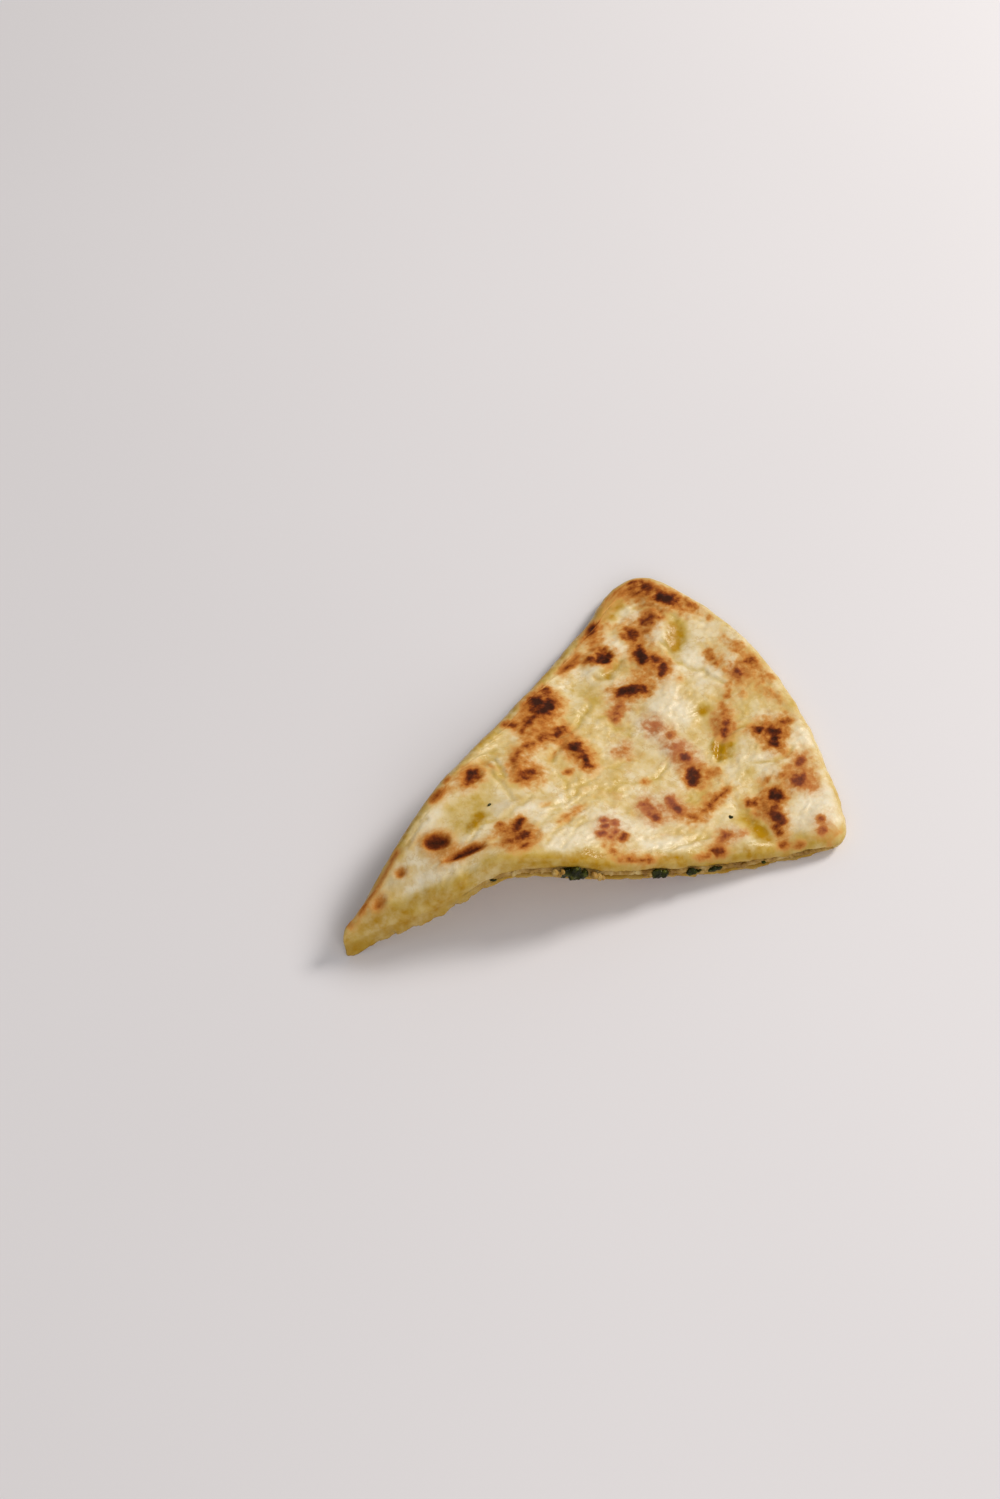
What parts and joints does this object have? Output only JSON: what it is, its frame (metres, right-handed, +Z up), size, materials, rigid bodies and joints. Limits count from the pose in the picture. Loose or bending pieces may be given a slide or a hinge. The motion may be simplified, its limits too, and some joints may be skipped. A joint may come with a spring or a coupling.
{
  "type": "filled flatbread slice",
  "caption": "Wedge slice of a thin pan-fried flatbread with a curd and herb filling between two dough layers, closed at its rim and open at its two cuts.",
  "frame": {"origin": "on the floor, under the middle of the slice's bounding box", "axes": "+Z up, +X from the slice's tip towards its rim, -Y the side of the front cut"},
  "size_m": [0.154, 0.1088, 0.0234],
  "materials": {
    "fried_dough": "buttered, scorched in spots",
    "curd_and_herbs": "moist, grainy"
  },
  "bodies": {
    "root": {"dough": "fried_dough", "curd_filling": "curd_and_herbs"}
  },
  "joints": []
}
